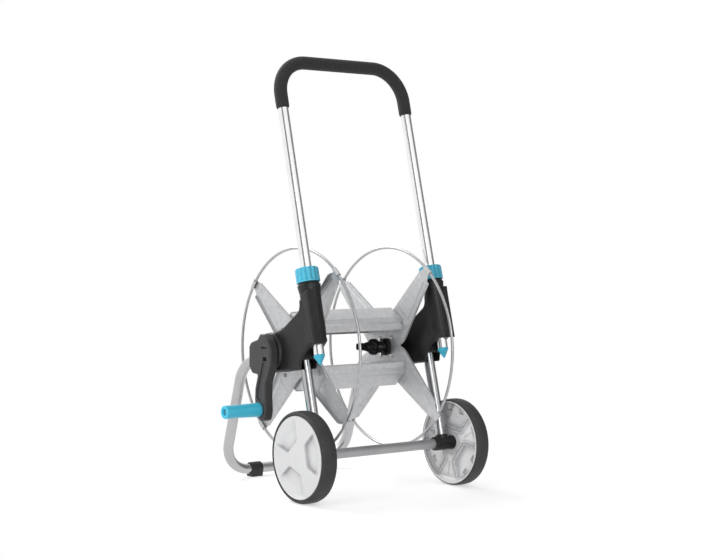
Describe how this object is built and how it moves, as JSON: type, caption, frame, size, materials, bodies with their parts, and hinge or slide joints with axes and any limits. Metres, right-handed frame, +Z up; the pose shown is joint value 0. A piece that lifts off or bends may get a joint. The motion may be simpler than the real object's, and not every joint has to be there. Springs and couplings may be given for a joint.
{
  "type": "hose reel cart",
  "caption": "Two-wheeled garden hose cart of aluminium tube with a cranked open reel, a telescopic loop handle with clamp collars and a hose fitting on the drum.",
  "frame": {"origin": "on the floor, under the middle of the cart's bounding box", "axes": "+Z up, +X along the axle away from the crank, +Y from the user's side towards the rear frame"},
  "size_m": [0.5024, 0.453, 0.8848],
  "materials": {
    "aluminium_tube": "polished",
    "galvanised_steel": "satin",
    "steel_rod": "satin",
    "black_plastic": "moulded",
    "blue_plastic": "moulded",
    "pale_plastic": "moulded",
    "foam_sleeve": "fine foam",
    "tyre_rubber": "matt",
    "foot_rubber": "matt"
  },
  "bodies": {
    "frame": {"housing_outer_left": "black_plastic", "housing_inner_left": "black_plastic", "housing_outer_right": "black_plastic", "housing_inner_right": "black_plastic", "collet_left": "pale_plastic", "collet_right": "pale_plastic", "leg_tube_left": "aluminium_tube", "leg_tube_right": "aluminium_tube", "rear_frame_tube": "aluminium_tube", "rear_foot_left": "foot_rubber", "rear_foot_right": "foot_rubber", "axle_tube": "aluminium_tube", "axle_rod": "steel_rod", "axle_connector_left": "black_plastic", "axle_connector_right": "black_plastic", "water_inlet": "black_plastic"},
    "handle": {"handle_tube": "aluminium_tube", "handle_grip": "foam_sleeve", "end_plug_left": "blue_plastic", "end_plug_right": "blue_plastic"},
    "clamp_left": {"collar_left": "blue_plastic"},
    "clamp_right": {"collar_right": "blue_plastic"},
    "reel": {"disc_plate_left": "galvanised_steel", "disc_plate_right": "galvanised_steel", "ring_wire_left": "galvanised_steel", "ring_wire_right": "galvanised_steel", "drum_beam_upper": "galvanised_steel", "drum_beam_lower": "galvanised_steel", "reel_hub_left": "black_plastic", "reel_hub_right": "black_plastic", "crank": "black_plastic", "knob_pin": "black_plastic", "hose_elbow": "black_plastic", "hose_tail": "black_plastic"},
    "knob": {"crank_knob": "blue_plastic"},
    "fitting_nut": {"hose_nut": "black_plastic"},
    "left_wheel": {"wheel_left": "pale_plastic", "tyre_left": "tyre_rubber"},
    "right_wheel": {"wheel_right": "pale_plastic", "tyre_right": "tyre_rubber"}
  },
  "joints": [
    {"name": "handle_slide", "type": "slide", "parent": "frame", "child": "handle", "axis": [0, 0.247, 0.969], "range_m": [-0.235, 0]},
    {"name": "clamp_left_turn", "type": "hinge", "parent": "frame", "child": "clamp_left", "pos_m": [-0.1151, -0.10235, 0.427], "axis": [0, 0.247, 0.969], "range_deg": [0, 120]},
    {"name": "clamp_right_turn", "type": "hinge", "parent": "frame", "child": "clamp_right", "pos_m": [0.1989, -0.10235, 0.427], "axis": [0, 0.247, 0.969], "range_deg": [0, 120]},
    {"name": "reel_spin", "type": "hinge", "parent": "frame", "child": "reel", "pos_m": [0.0419, -0.00705, 0.2846], "axis": [1, 0, 0], "continuous": true},
    {"name": "knob_spin", "type": "hinge", "parent": "reel", "child": "knob", "pos_m": [-0.2097, -0.00705, 0.172], "axis": [1, 0, 0], "continuous": true},
    {"name": "fitting_nut_turn", "type": "hinge", "parent": "reel", "child": "fitting_nut", "pos_m": [0.1329, -0.00295, 0.2846], "axis": [-0.7071, 0.7071, 0], "range_deg": [0, 540]},
    {"name": "left_wheel_spin", "type": "hinge", "parent": "frame", "child": "left_wheel", "pos_m": [-0.1504, -0.13655, 0.09], "axis": [1, 0, 0], "continuous": true},
    {"name": "right_wheel_spin", "type": "hinge", "parent": "frame", "child": "right_wheel", "pos_m": [0.2342, -0.13655, 0.09], "axis": [1, 0, 0], "continuous": true}
  ]
}
